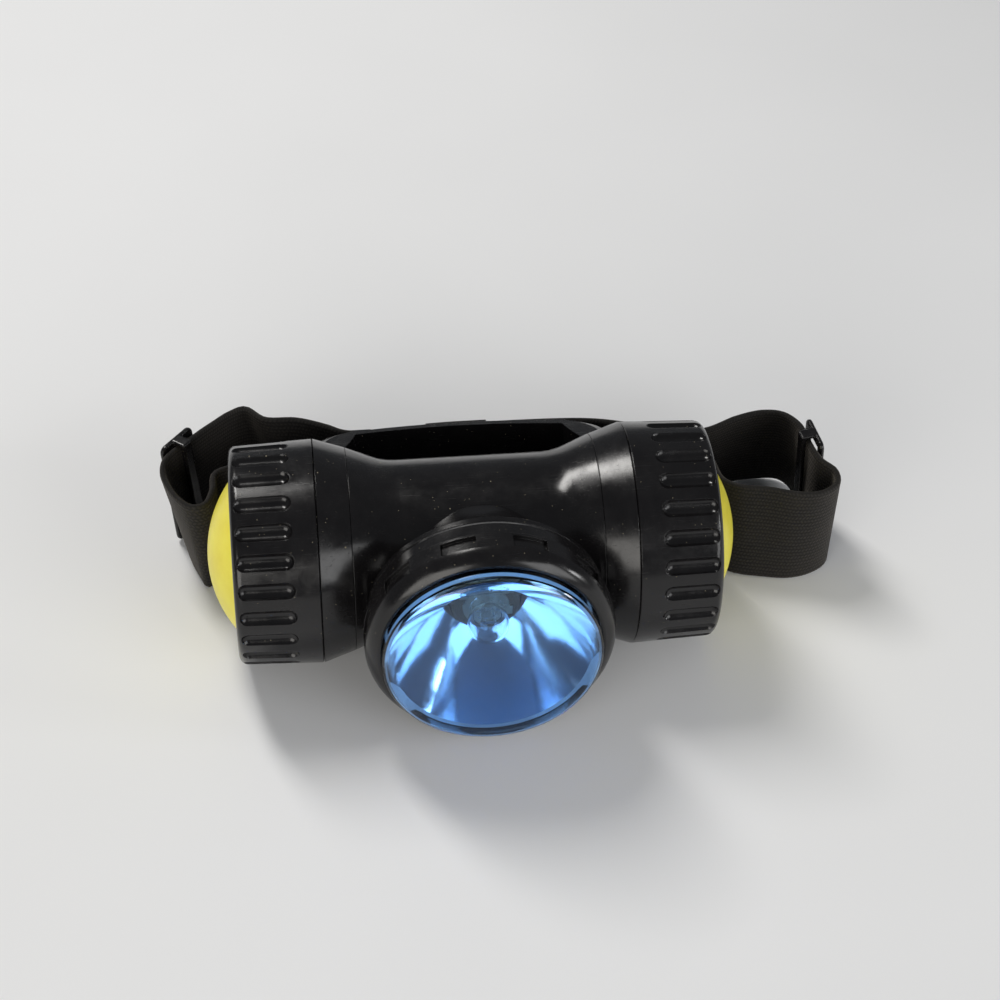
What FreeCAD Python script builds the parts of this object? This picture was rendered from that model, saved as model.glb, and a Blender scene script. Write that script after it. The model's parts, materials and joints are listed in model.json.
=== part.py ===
"""Headlamp: a horizontal tube of four AA cells with the lamp head on its front.

Millimetres, +Z up, lens towards -Y. The lamp stands on its two end caps and the bezel's lower rim.
Two collars carry the tube, so the tube and head tilt in them, and a bar joins the collars behind.
Shapes on the tube are made in the lamp's own frame: tube axis on X, lens axis along -Y.
Shapes on the bracket are made in the bracket's frame: collar axis on X, rear bar towards +Y.
"""
import FreeCAD, Part
import math
import os

V = FreeCAD.Vector

# driving dimensions of the tube
CAP_R = 26.8            # largest radius of a cap, and the height of the tube axis
COLLAR_IN_X = 29.3      # inner seam, housing to collar
COLLAR_OUT_X = 36.9     # outer seam, collar to cap
COLLAR_IN_R = 24.3
CAP_END_X = 57.0
TUBE_R = 20.7
BAY_R = 17.8            # battery bay
NECK_R = 22.5           # neck that the collar turns on and the cap screws on
RUN_GAP = 0.08          # radial running clearance
SEAM = 0.12             # gap at a seam between two pieces
FLARE_X = 17.4          # where the tube starts to widen
FLARE_ARC_R = 15.0
FLARE_SLOPE = 0.4

# driving dimensions of the lamp head, h measured forwards from the tube axis
HEAD_X = 1.2            # the head stands a little off the middle of the tube
BARREL_R = 27.8
BARREL_H = 24.2         # front of the barrel's flange
BARREL_NECK_R = 26.2
BARREL_NECK_H = 33.0
BEZEL_R = 29.1
BEZEL_FRONT_H = 37.7
LENS_R = 25.45
LENS_FLAT_R = 21.8
LENS_FRONT_H = 42.3
LENS_SIDE_H = 40.3      # front of the lens's straight side
REFLECTOR_F = 6.2       # focal length
REFLECTOR_APEX_H = 16.6
REFLECTOR_MOUTH_H = 38.0
REFLECTOR_HOLE_R = 8.6
HOLDER_R = 8.1
BULB_R = 4.9
BULB_TIP_H = 32.6

# caps and cells
FLUTES = 24
FLUTE_LEN = 13.8
FLUTE_R = 2.2
FLUTE_END = 0.6         # from the flute's outer end to the cap's end face
FLUTE_DEPTH = 1.1
CAP_DRAFT = math.radians(2.0)
DOME_R = 18.1
DOME_RISE = 6.3
CELL_R = 7.1
CELL_LEN = 50.5
CELL_Z = 7.4
CELL_START_X = 1.9
CARRIER_X = 54.4        # inner face of the end contacts' carrier
CARRIER_R = 15.3        # clears the inside of the pressed dome
LINK_R = 2.0            # rivet that joins the upper cells
WEB_X = 1.2             # half the thickness of the web between the two battery bays

# necks bonded in the tube's mouths
SPIGOT_X = 23.2
SPIGOT_R = 20.2
NECK_END_X = 51.8
FRICTION_X = 32.2       # start of the friction band's groove
CAP_ORING_X = 39.2      # start of the cap ring's groove
RING_GROOVE_W = 1.9

# bracket and strap
BAR_CROWN_Y = 36.0      # rear face of the bar at its middle, from the collar axis
BAR_END_X = 26.0        # where the bar's long bow meets its round ends
BAR_END_Y = 33.8
BAR_T = 2.6
BAR_HALF_H = 15.9
BAR_EDGE = 0.7          # chamfer along the bar's outer edges
STRAP_W = 28.0
STRAP_T = 1.5
KEEPER_X = 24.5         # middle of each strap keeper
KEEPER_W = 5.0
KEEPER_Y = 36.5         # inner face of the keeper's bridge
KEEPER_T = 1.0

# rest pose and the row's origin
LAMP_PITCH = 4.0        # the lens looks up by this much
BRACKET_DROOP = 19.5    # the rear bar hangs down by this much
ORIGIN = V(9.3, 4.3, -CAP_R)

X_AXIS = V(1, 0, 0)
LENS_AXIS = V(0, -1, 0)
NODES = {}


def keep(name, shape, frame="lamp"):
    """Turn a shape from its own frame into the rest pose and file it under its node's name."""
    placed = shape.copy()
    turn = {"lamp": LAMP_PITCH, "bracket": BRACKET_DROOP, "world": 0.0}[frame]
    if turn:
        placed.rotate(V(0, 0, 0), X_AXIS, -turn)
    placed.translate(-ORIGIN)
    NODES[name] = placed


def outline(points):
    """Closed wire through (a, b) points; ("arc", middle, end) makes a round stretch."""
    edges = []
    here = points[0]
    for item in points[1:] + [points[0]]:
        if item[0] == "arc":
            edges.append(Part.Arc(V(*here, 0), V(*item[1], 0), V(*item[2], 0)).toShape())
            here = item[2]
        elif math.dist(here, item) > 1e-6:
            edges.append(Part.makeLine(V(*here, 0), V(*item, 0)))
            here = item
    return Part.Wire(edges)


def lathe(points):
    """Solid turned about X from an outline of (x, radius) points."""
    return Part.Face(outline(points)).revolve(V(0, 0, 0), X_AXIS, 360)


def lathe_head(points):
    """Solid turned about the lens axis from an outline of (h, radius) points."""
    shape = lathe(points)
    shape.rotate(V(0, 0, 0), V(0, 0, 1), -90)
    shape.translate(V(HEAD_X, 0, 0))
    return shape


def tube_between(x0, x1, outer, inner):
    return lathe([(x0, inner), (x0, outer), (x1, outer), (x1, inner)])


def rod(start, direction, radius, length):
    return Part.makeCylinder(radius, length, start, direction)


def box(low, high):
    size = high - low
    return Part.makeBox(size.x, size.y, size.z, low)


def other_side(shape):
    return shape.mirror(V(0, 0, 0), X_AXIS)


def spring(x0, x1, radius, wire_r, turns):
    """Coil spring along X from x0 to x1."""
    height = x1 - x0 - 2 * wire_r
    helix = Part.makeHelix(height / turns, height, radius)
    quarters = [Part.makeCircle(wire_r, V(radius, 0, 0), V(0, 1, 0), start, start + 90)
                for start in range(0, 360, 90)]
    section = Part.Wire(quarters)
    coil = Part.Wire(helix.Edges).makePipeShell([section], True, True)
    coil.rotate(V(0, 0, 0), V(0, 1, 0), 90)
    coil.translate(V(x0 + wire_r, 0, 0))
    return coil


def flare_outline():
    """Half of the tube's outer outline, from its middle out to the inner seam."""
    angle = math.atan(FLARE_SLOPE)
    arc_mid = (FLARE_X + FLARE_ARC_R * math.sin(angle / 2),
               TUBE_R + FLARE_ARC_R * (1 - math.cos(angle / 2)))
    arc_end = (FLARE_X + FLARE_ARC_R * math.sin(angle), TUBE_R + FLARE_ARC_R * (1 - math.cos(angle)))
    return [(0, 0), (0, TUBE_R), (FLARE_X, TUBE_R), ("arc", arc_mid, arc_end),
            (COLLAR_IN_X, COLLAR_IN_R), (COLLAR_IN_X, 0)]


def make_housing():
    """Tube with flared ends, and the lamp head's barrel welded on its front."""
    half = lathe(flare_outline())
    tube = half.fuse(other_side(half))
    barrel = lathe_head([(4, 0), (4, 17.0), (9, 19.2), ("arc", (17.5, 22.6), (22.8, BARREL_R)),
                         (BARREL_H, BARREL_R), (BARREL_H, BARREL_NECK_R),
                         (BARREL_NECK_H, BARREL_NECK_R), (BARREL_NECK_H, 0)]).cut(tube)
    bay = tube_between(WEB_X, COLLAR_IN_X + 1, BAY_R, 0)
    socket = tube_between(SPIGOT_X, COLLAR_IN_X + 1, SPIGOT_R, 0)
    cavity = lathe_head([(19, 0), (19, 12.5), (23.5, 19), (26.5, 24.4), (34, 24.4), (34, 0)])
    holder_hole = rod(V(HEAD_X, -7.9, 0), LENS_AXIS, HOLDER_R + 0.05, 12)
    link_hole = rod(V(-3, 0, CELL_Z), X_AXIS, LINK_R, 6)
    strip_notch = box(V(-2, -8.2, -2.1), V(2, -7.0, 1.6))
    tube = tube.cut([bay, other_side(bay), socket, other_side(socket), cavity, holder_hole, link_hole,
                     strip_notch])
    keep("tube_housing", tube.removeSplitter())
    groove_h, groove_w, groove_r = 26.0, 1.1, BARREL_NECK_R - 0.95
    groove = lathe_head([(groove_h, groove_r), (groove_h, BARREL_R), (groove_h + groove_w, BARREL_R),
                         (groove_h + groove_w, groove_r)])
    keep("lamp_barrel", barrel.cut([cavity, holder_hole, groove]).removeSplitter())
    ring = Part.makeTorus(groove_r + 0.52, 0.5, V(HEAD_X, -groove_h - groove_w / 2, 0), LENS_AXIS)
    keep("bezel_oring", ring)


def make_neck(side, mirror):
    """Threaded neck bonded into the tube's mouth through the collar, with its two rubber rings."""
    thread = []
    crest, root, pitch = NECK_R, NECK_R - 0.7, 2.0
    x = 43.0
    while x + pitch < NECK_END_X - 1:
        thread += [(x, crest), (x + 0.8, crest), (x + 1.0, root), (x + 1.8, root)]
        x += pitch
    groove = RING_GROOVE_W
    profile = [(SPIGOT_X, BAY_R), (SPIGOT_X, SPIGOT_R), (COLLAR_IN_X, SPIGOT_R), (COLLAR_IN_X, NECK_R),
               (FRICTION_X, NECK_R), (FRICTION_X, NECK_R - 0.8),
               (FRICTION_X + groove, NECK_R - 0.8), (FRICTION_X + groove, NECK_R),
               (CAP_ORING_X, NECK_R), (CAP_ORING_X, NECK_R - 1.45),
               (CAP_ORING_X + groove, NECK_R - 1.45), (CAP_ORING_X + groove, NECK_R)]
    profile += thread + [(NECK_END_X - 0.8, NECK_R), (NECK_END_X, NECK_R - 0.8), (NECK_END_X, BAY_R)]
    band = tube_between(FRICTION_X + 0.05, FRICTION_X + groove - 0.05, NECK_R + 0.03, NECK_R - 0.79)
    ring = Part.makeTorus(NECK_R - 0.68, 0.72, V(CAP_ORING_X + groove / 2, 0, 0), X_AXIS)
    keep(side + "_neck", mirror(lathe(profile)))
    keep(side + "_friction_band", mirror(band))
    keep(side + "_cap_oring", mirror(ring))


def flute_cutter():
    """Slot with round ends, sunk into the cap's side and following its draft."""
    end_x = CAP_END_X - FLUTE_END - FLUTE_R
    start_x = end_x - (FLUTE_LEN - 2 * FLUTE_R)
    wall_r = CAP_R - (end_x - COLLAR_OUT_X) * math.tan(CAP_DRAFT)
    centre_r = wall_r + FLUTE_R - FLUTE_DEPTH
    slot = rod(V(start_x, 0, 0), X_AXIS, FLUTE_R, end_x - start_x)
    slot = slot.fuse([Part.makeSphere(FLUTE_R, V(start_x, 0, 0)), Part.makeSphere(FLUTE_R, V(end_x, 0, 0))])
    slot.rotate(V(start_x, 0, 0), V(0, 1, 0), math.degrees(CAP_DRAFT) / 2)
    slot.translate(V(0, 0, centre_r))
    return slot


def make_cap_shell():
    edge = 2.0
    side_r = CAP_R - (CAP_END_X - edge - COLLAR_OUT_X) * math.tan(CAP_DRAFT)
    start = COLLAR_OUT_X + SEAM
    corner = (CAP_END_X - edge * (1 - math.sin(math.pi / 4)), side_r - edge * (1 - math.cos(math.pi / 4)))
    shell = lathe([(start, NECK_R + 0.12), (start, CAP_R - 0.3), (start + 0.3, CAP_R),
                   (CAP_END_X - edge, side_r), ("arc", corner, (CAP_END_X, side_r - edge)),
                   (CAP_END_X, DOME_R + 0.7), (CAP_END_X - 0.5, DOME_R + 0.2),
                   (CAP_END_X - 2.1, DOME_R + 0.2), (CAP_END_X - 2.1, NECK_R + 0.12)])
    cutter = flute_cutter()
    cutters = []
    for i in range(FLUTES):
        turned = cutter.copy()
        turned.rotate(V(0, 0, 0), X_AXIS, 360.0 * (i + 0.5) / FLUTES)
        cutters.append(turned)
    return shell.cut(cutters)


def make_dome():
    """Hollow yellow dome with a skirt and a flange that sits behind the cap's end wall."""
    skin = 1.2
    ball_r = (DOME_R ** 2 + DOME_RISE ** 2) / (2 * DOME_RISE)
    ball_x = CAP_END_X + DOME_RISE - ball_r
    inner_r = DOME_R - 1.0
    inner_ball = ball_r - skin

    def on_ball(radius, r):
        return (ball_x + math.sqrt(radius ** 2 - r ** 2), r)
    tip_out = on_ball(ball_r, 0)
    tip_in = on_ball(inner_ball, 0)
    return lathe([(53.9, inner_r), (53.9, 20.6), (54.75, 20.6), (54.75, DOME_R), (CAP_END_X, DOME_R),
                  ("arc", on_ball(ball_r, DOME_R / 2), tip_out), tip_in,
                  ("arc", on_ball(inner_ball, inner_r / 2), on_ball(inner_ball, inner_r))])


def make_end_contacts(side, mirror):
    """Insulating carrier with the plate and springs that join a pair of cells; it never turns."""
    carrier = tube_between(CARRIER_X, CARRIER_X + 1.2, CARRIER_R, 0)
    plate = tube_between(CARRIER_X - 0.5, CARRIER_X, 14.5, 0)
    springs = []
    cell_end = CELL_START_X + CELL_LEN
    for z in (CELL_Z, -CELL_Z):
        coil = spring(cell_end, CARRIER_X - 0.5, 4.4, 0.35, 1.0)
        coil.translate(V(0, 0, z))
        springs.append(coil)
    keep(side + "_contact_carrier", mirror(carrier))
    keep(side + "_contact_plate", mirror(plate))
    keep(side + "_contact_springs", mirror(Part.makeCompound(springs)))


def make_switch():
    """Press switch on the left carrier, its pin under the dome, and the spring that lifts the dome."""
    base_x = CARRIER_X + 1.2
    body = lathe([(base_x, 0), (base_x, 5.6), (base_x + 1.4, 5.6), (base_x + 1.4, 3.0),
                  (base_x + 3.8, 3.0), (base_x + 3.8, 1.6), (base_x + 0.6, 1.6), (base_x + 0.6, 0)])
    dome_inside = CAP_END_X + DOME_RISE - 1.2
    pin = rod(V(base_x + 2.4, 0, 0), X_AXIS, 1.5, dome_inside - 0.06 - base_x - 2.4)
    coil = spring(base_x + 1.45, dome_inside - 0.5, 4.4, 0.4, 2.5)
    keep("switch_body", other_side(body))
    keep("switch_pin", other_side(pin))
    keep("switch_spring", other_side(coil))


def make_cells():
    nub_r, nub_len = 2.7, 1.1
    for side, mirror in SIDES:
        for level, z, nub_outside in (("upper", CELL_Z, True), ("lower", -CELL_Z, False)):
            start, end = CELL_START_X, CELL_START_X + CELL_LEN
            if nub_outside:
                profile = [(start, 0), (start, CELL_R), (end - nub_len, CELL_R), (end - nub_len, nub_r),
                           (end, nub_r), (end, 0)]
            else:
                profile = [(start, 0), (start, nub_r), (start + nub_len, nub_r),
                           (start + nub_len, CELL_R), (end, CELL_R), (end, 0)]
            cell = lathe(profile)
            cell.translate(V(0, 0, z))
            keep("cell_%s_%s" % (side, level), mirror(cell))


def make_inner_contacts():
    """Rivet that joins the upper cells, and the two strips from the lower cells to the bulb."""
    head, head_r = 0.6, 4.5
    rivet = lathe([(-WEB_X - head, 0), (-WEB_X - head, head_r), (-WEB_X, head_r), (-WEB_X, LINK_R),
                   (WEB_X, LINK_R), (WEB_X, head_r), (WEB_X + head, head_r), (WEB_X + head, 0)])
    rivet.translate(V(0, 0, CELL_Z))
    keep("upper_cell_link", rivet)
    strip_t = 0.5
    strip_x = WEB_X + 0.1
    left = box(V(-strip_x - strip_t, -6.5, -11), V(-strip_x, 3, -3.2))
    left = left.fuse([box(V(-strip_x - strip_t, -7.4, -3.2), V(-strip_x, 3, 1.5)),
                      box(V(-strip_x - strip_t, -7.6, -2), V(HEAD_X + 2.5, -7.1, 1.5)),
                      box(V(HEAD_X - 1.5, -9.3, -1.5), V(HEAD_X + 1.5, -7.1, 1.5))])
    arm_x = HEAD_X + 5.8
    right = box(V(strip_x, -6.5, -11), V(strip_x + strip_t, 3, -3.2))
    right = right.fuse([box(V(strip_x, -6.5, -3.3), V(arm_x + strip_t, -6.0, -0.7)),
                        box(V(arm_x, -21.6, -3.3), V(arm_x + strip_t, -6.0, -0.7)),
                        box(V(arm_x - 1.2, -21.6, -3.3), V(arm_x + strip_t, -21.1, -0.7))])
    keep("left_bulb_strip", left.removeSplitter())
    keep("right_bulb_strip", right.removeSplitter())
    return right


def make_bulb():
    """Flanged prefocus bulb: glass, brass cap, and filament on its two supports."""
    flange_h, neck_r, glass_t = 22.3, 3.9, 0.5
    ball_h = BULB_TIP_H - BULB_R
    join_h = ball_h - math.sqrt(BULB_R ** 2 - neck_r ** 2)
    inner_r = BULB_R - glass_t
    inner_join_h = ball_h - math.sqrt(inner_r ** 2 - (neck_r - glass_t) ** 2)
    glass = lathe_head([(flange_h, neck_r - glass_t), (flange_h, neck_r), (join_h, neck_r),
                        ("arc", (ball_h, BULB_R), (BULB_TIP_H, 0)), (BULB_TIP_H - glass_t, 0),
                        ("arc", (ball_h, inner_r), (inner_join_h, neck_r - glass_t))])
    cap = lathe_head([(10.9, 0), (10.9, 2.0), (12.2, 4.6), (21.6, 4.6), (21.6, 5.5),
                      (flange_h, 5.5), (flange_h, 0)])
    post = 1.5
    posts = [rod(V(HEAD_X + x, -flange_h, 0), LENS_AXIS, 0.22, 5.4) for x in (post, -post)]
    filament = rod(V(HEAD_X - post - 0.3, -flange_h - 5.2, 0), X_AXIS, 0.3, 2 * post + 0.6)
    keep("bulb_glass", glass)
    keep("bulb_cap", cap)
    keep("bulb_filament", filament.fuse(posts))


def make_bulb_holder(arm):
    holder = lathe_head([(9.4, 3.0), (9.4, 5.5), (8.2, 5.5), (8.2, HOLDER_R), (20.9, HOLDER_R),
                         (21.5, HOLDER_R - 0.6), (21.5, 4.65), (11.4, 4.65), (11.4, 3.0)])
    clear = box(V(HEAD_X + 4.4, -22.2, -4.0), V(HEAD_X + 6.5, -5.0, -0.4))
    tip_room = rod(V(HEAD_X, -8.0, 0), LENS_AXIS, 3.6, 2.0)
    keep("bulb_holder", holder.cut([clear, tip_room, arm]))


def make_reflector():
    """Parabolic bowl with a seat flange that rests on the barrel's neck."""
    def bowl(h, offset=0.0):
        return math.sqrt(4 * REFLECTOR_F * (h - REFLECTOR_APEX_H)) + offset
    skin = 1.1
    hole_h = REFLECTOR_APEX_H + REFLECTOR_HOLE_R ** 2 / (4 * REFLECTOR_F)
    steps = 14
    heights = [hole_h + (REFLECTOR_MOUTH_H - hole_h) * i / steps for i in range(steps + 1)]
    inner = Part.BSplineCurve()
    inner.interpolate([V(h, bowl(h), 0) for h in heights])
    outer = Part.BSplineCurve()
    outer.interpolate([V(h, bowl(h, skin), 0) for h in heights])
    ends = [Part.makeLine(V(hole_h, bowl(hole_h), 0), V(hole_h, bowl(hole_h, skin), 0)),
            Part.makeLine(V(REFLECTOR_MOUTH_H, bowl(REFLECTOR_MOUTH_H), 0),
                          V(REFLECTOR_MOUTH_H, bowl(REFLECTOR_MOUTH_H, skin), 0))]
    wire = Part.Wire(Part.sortEdges([inner.toShape(), outer.toShape()] + ends)[0])
    bowl_solid = Part.Face(wire).revolve(V(0, 0, 0), X_AXIS, 360)
    bowl_solid.rotate(V(0, 0, 0), V(0, 0, 1), -90)
    bowl_solid.translate(V(HEAD_X, 0, 0))
    flange_h = BARREL_NECK_H + 0.1
    flange = lathe_head([(flange_h, bowl(flange_h, 0.5)), (flange_h, BARREL_NECK_R - 0.1),
                         (flange_h + 1.0, BARREL_NECK_R - 0.1), (flange_h + 1.0, bowl(flange_h + 1.0, 0.5))])
    keep("reflector", bowl_solid.fuse(flange))
    seat_h = flange_h + 1.0
    gasket = lathe_head([(seat_h, 24.6), (seat_h, BARREL_NECK_R - 0.1), (seat_h + 0.7, BARREL_NECK_R - 0.1),
                         (seat_h + 0.7, 24.6)])
    keep("lens_gasket", gasket)


def make_lens():
    """Blue lens: flat front with a thick rounded rim, and a rear flange under the bezel's lip."""
    back_h, flange_h = 34.8, 36.3
    inner_r, plate_t = 24.35, 2.0
    round_mid = (LENS_FRONT_H - 0.55, LENS_R - 1.35)
    lens = lathe_head([(back_h, inner_r), (back_h, BARREL_NECK_R), (flange_h, BARREL_NECK_R),
                       (flange_h, LENS_R), (LENS_SIDE_H, LENS_R),
                       ("arc", round_mid, (LENS_FRONT_H, LENS_FLAT_R)), (LENS_FRONT_H, 0), (LENS_FRONT_H - plate_t, 0),
                       (LENS_FRONT_H - plate_t, inner_r - 0.5), (LENS_FRONT_H - plate_t - 0.5, inner_r)])
    keep("lens", lens)


def make_bezel():
    """Screw bezel: plain skirt, a band of square pockets, then a round shoulder down to the lens."""
    bore = BARREL_NECK_R + 0.2
    start = BARREL_H + SEAM
    band_h0, band_h1 = 30.2, 34.0
    lip_h = 36.4
    shoulder_mid = (36.3, BEZEL_R - 1.05)
    bezel = lathe_head([(start, bore), (start, BARREL_R), (start + 1.4, BARREL_R + 0.65),
                        (band_h0 - 0.9, BEZEL_R - 0.35), (band_h0 - 0.7, BEZEL_R),
                        (band_h1, BEZEL_R), ("arc", shoulder_mid, (BEZEL_FRONT_H, 26.3)),
                        (BEZEL_FRONT_H, LENS_R + 0.15), (lip_h, LENS_R + 0.15), (lip_h, bore)])
    pockets, depth = 11, 0.9
    step = 360.0 / pockets
    ring = lathe_head([(band_h0, BEZEL_R - depth), (band_h0, BEZEL_R + 1), (band_h1, BEZEL_R + 1),
                       (band_h1, BEZEL_R - depth)])
    half_w = math.radians(step / 4)
    reach = 40.0
    cutters = []
    for i in range(pockets):
        wedge = Part.Face(Part.makePolygon([V(0, 0, 0), V(reach, -reach * math.tan(half_w), 0),
                                            V(reach, reach * math.tan(half_w), 0), V(0, 0, 0)]))
        wedge = wedge.extrude(V(0, 0, reach * 2))
        wedge.rotate(V(0, 0, 0), X_AXIS, 90)
        wedge.rotate(V(0, 0, 0), V(0, 1, 0), -step * (i + 0.2))
        wedge.translate(V(HEAD_X, 0, 0))
        cutters.append(ring.common(wedge))
    keep("bezel", bezel.cut(cutters))


def bar_path(offset):
    """Plan outline of the rear bar's face, from the right collar round to the left one."""
    end_y = BAR_END_Y - offset
    root_y, bend_y = 18.0, 24.0 - offset * 0.5
    side = COLLAR_OUT_X - 0.1 - offset * (COLLAR_OUT_X - COLLAR_IN_X - 0.3) / BAR_T
    corner_x, corner_y = side - 2.2, end_y - 3.9
    return [(side, root_y), (side, bend_y), ("arc", (corner_x, corner_y), (BAR_END_X, end_y)),
            ("arc", (0, BAR_CROWN_Y - offset), (-BAR_END_X, end_y)),
            ("arc", (-corner_x, corner_y), (-side, bend_y)), (-side, root_y)]


def reversed_path(path):
    """The same plan path walked from its other end."""
    ends = [item[2] if item[0] == "arc" else item for item in path]
    back = [ends[-1]]
    for i in range(len(path) - 1, 0, -1):
        back.append(("arc", path[i][1], ends[i - 1]) if path[i][0] == "arc" else ends[i - 1])
    return back


def bar_plan(offset, z):
    """Closed plan of the bar at height z, its rear face moved in by offset."""
    plan = outline(bar_path(offset) + reversed_path(bar_path(BAR_T)))
    plan.translate(V(0, 0, z))
    return plan


def make_bar():
    """Bowed bar with a bevel along the top and bottom edges of its rear face."""
    bevel_z = BAR_HALF_H - BAR_EDGE
    middle = Part.Face(bar_plan(0, -bevel_z)).extrude(V(0, 0, 2 * bevel_z))
    edges = [Part.makeLoft([bar_plan(0, sign * bevel_z), bar_plan(BAR_EDGE, sign * BAR_HALF_H)], True, True)
             for sign in (1, -1)]
    return middle.fuse(edges)


def make_bracket():
    """Two collars joined by the rear bar, with a keeper near each end for the strap."""
    x0, x1 = COLLAR_IN_X + SEAM, COLLAR_OUT_X
    slope = (CAP_R - COLLAR_IN_R) / (COLLAR_OUT_X - COLLAR_IN_X)
    collar = lathe([(x0, NECK_R - 1), (x0, COLLAR_IN_R + SEAM * slope), (x1, CAP_R), (x1, NECK_R - 1)])
    bore = rod(V(-50, 0, 0), X_AXIS, NECK_R + RUN_GAP, 100)
    inner_room = tube_between(-COLLAR_IN_X - SEAM, COLLAR_IN_X + SEAM, COLLAR_IN_R + 0.6, 0)
    cap_room = tube_between(COLLAR_OUT_X, COLLAR_OUT_X + 5, CAP_R + 1, 0)
    keepers = []
    low_z, high_z = -15.1, BAR_HALF_H
    strap_low_z, strap_high_z = -14.45, 14.3
    for x in (KEEPER_X, -KEEPER_X):
        low, high = x - KEEPER_W / 2, x + KEEPER_W / 2
        bridge = box(V(low, KEEPER_Y, low_z), V(high, KEEPER_Y + KEEPER_T, high_z))
        posts = [box(V(low, BAR_END_Y - 0.9, z0), V(high, KEEPER_Y + KEEPER_T / 2, z1))
                 for z0, z1 in ((strap_high_z, high_z), (low_z, strap_low_z))]
        keepers += [bridge] + posts
    slope_start, slope_end, above = V(0, 34.0, BAR_HALF_H), V(0, 40.0, 12.98), V(0, 0, 5)
    over_keepers = Part.Face(Part.makePolygon([slope_start, slope_end, slope_end + above,
                                               slope_start + above, slope_start]))
    over_keepers = over_keepers.extrude(X_AXIS * 100)
    over_keepers.translate(X_AXIS * -50)
    bracket = make_bar().fuse([collar, other_side(collar)] + [keeper.cut(over_keepers) for keeper in keepers])
    bracket = bracket.cut([bore, inner_room, cap_room, other_side(cap_room)])
    keep("bracket", bracket.removeSplitter(), "bracket")


# strap stations: lower edge x, y, z and upper edge x, y; the width sets the upper edge's height
FLOOR = -CAP_R + 0.25
LIFTED = FLOOR + 1.6      # where a slider holds the webbing clear of the table
HALF_LIFTED = FLOOR + 0.8
FOREHEAD_RUN = [(-33.0, 27.4, -25.4, -33.0, 35.6), (-27.0, 28.5, -25.2, -27.0, 38.0),
                (-21.0, 28.7, -25.3, -21.0, 38.2), (-13.0, 29.7, -25.6, -13.0, 39.2),
                (0.0, 29.95, -25.75, 0.0, 39.45), (13.0, 29.7, -25.6, 13.0, 39.2),
                (21.0, 28.7, -25.3, 21.0, 38.2), (27.0, 28.5, -25.2, 27.0, 38.0),
                (33.0, 27.4, -25.4, 33.0, 35.6)]
RIGHT_LOOP = [(33.0, 27.4, -25.4, 33.0, 35.6), (42.0, 25.2, FLOOR, 42.0, 31.9),
              (55.0, 25.4, FLOOR, 55.0, 30.2), (60.5, 25.0, FLOOR, 60.3, 28.0), (62.4, 19.8, FLOOR, 62.3, 22.5),
              (64.0, 12.9, FLOOR, 63.7, 15.8), (67.5, 9.4, FLOOR, 67.5, 12.8), (75.0, 7.2, FLOOR, 75.0, 11.3),
              (82.0, 6.2, FLOOR, 82.0, 8.8), (87.5, 7.6, FLOOR, 87.5, 8.6), (91.6, 11.0, FLOOR, 92.0, 11.6),
              (92.0, 15.6, HALF_LIFTED, 92.2, 15.2), (89.4, 19.4, LIFTED, 89.0, 18.6),
              (88.4, 28.0, LIFTED, 87.2, 25.6), (88.0, 36.0, LIFTED, 86.2, 31.8),
              (85.0, 41.2, HALF_LIFTED, 83.0, 37.0), (79.5, 42.6, FLOOR, 78.0, 38.8),
              (73.0, 42.0, FLOOR, 71.5, 37.4), (62.0, 38.6, FLOOR, 61.5, 33.4)]
BACK_RUN = [(62.0, 38.6, FLOOR, 61.5, 33.4), (48.0, 35.4, FLOOR, 48.0, 35.6), (36.0, 33.8, FLOOR, 36.0, 39.4),
            (28.0, 33.0, FLOOR, 28.0, 41.0), (0.0, 33.2, FLOOR, 0.0, 41.5), (-28.0, 33.0, FLOOR, -28.0, 41.0)]
LEFT_LOOP = [(-28.0, 33.0, FLOOR, -28.0, 41.0), (-32.5, 36.2, FLOOR, -33.0, 43.4),
             (-38.0, 40.4, FLOOR, -40.5, 46.2), (-42.4, 43.4, FLOOR, -48.4, 47.2),
             (-45.6, 47.8, FLOOR, -53.4, 52.2), (-50.0, 48.8, HALF_LIFTED, -57.0, 49.2),
             (-57.4, 44.6, LIFTED, -61.4, 44.0), (-63.4, 39.4, LIFTED, -66.2, 39.4),
             (-69.6, 31.8, LIFTED, -73.2, 32.0), (-69.0, 27.6, HALF_LIFTED, -74.0, 28.4),
             (-67.6, 22.6, FLOOR, -72.6, 24.0), (-65.8, 18.0, FLOOR, -70.2, 19.6),
             (-64.6, 15.2, FLOOR, -67.2, 16.6), (-62.6, 16.6, FLOOR, -64.0, 16.8),
             (-61.6, 20.8, FLOOR, -61.9, 21.6), (-61.0, 25.0, FLOOR, -61.2, 27.6),
             (-55.0, 25.8, FLOOR, -55.0, 30.4), (-42.0, 25.2, FLOOR, -42.0, 31.9),
             (-33.0, 27.4, -25.4, -33.0, 35.6)]


def strap_edges(stations):
    """Lower and upper edge points of the webbing's middle surface."""
    pairs = []
    for xb, yb, zb, xt, yt in stations:
        rise = math.sqrt(STRAP_W ** 2 - (xt - xb) ** 2 - (yt - yb) ** 2)
        pairs.append((V(xb, yb, zb), V(xt, yt, zb + rise)))
    return pairs


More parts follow.
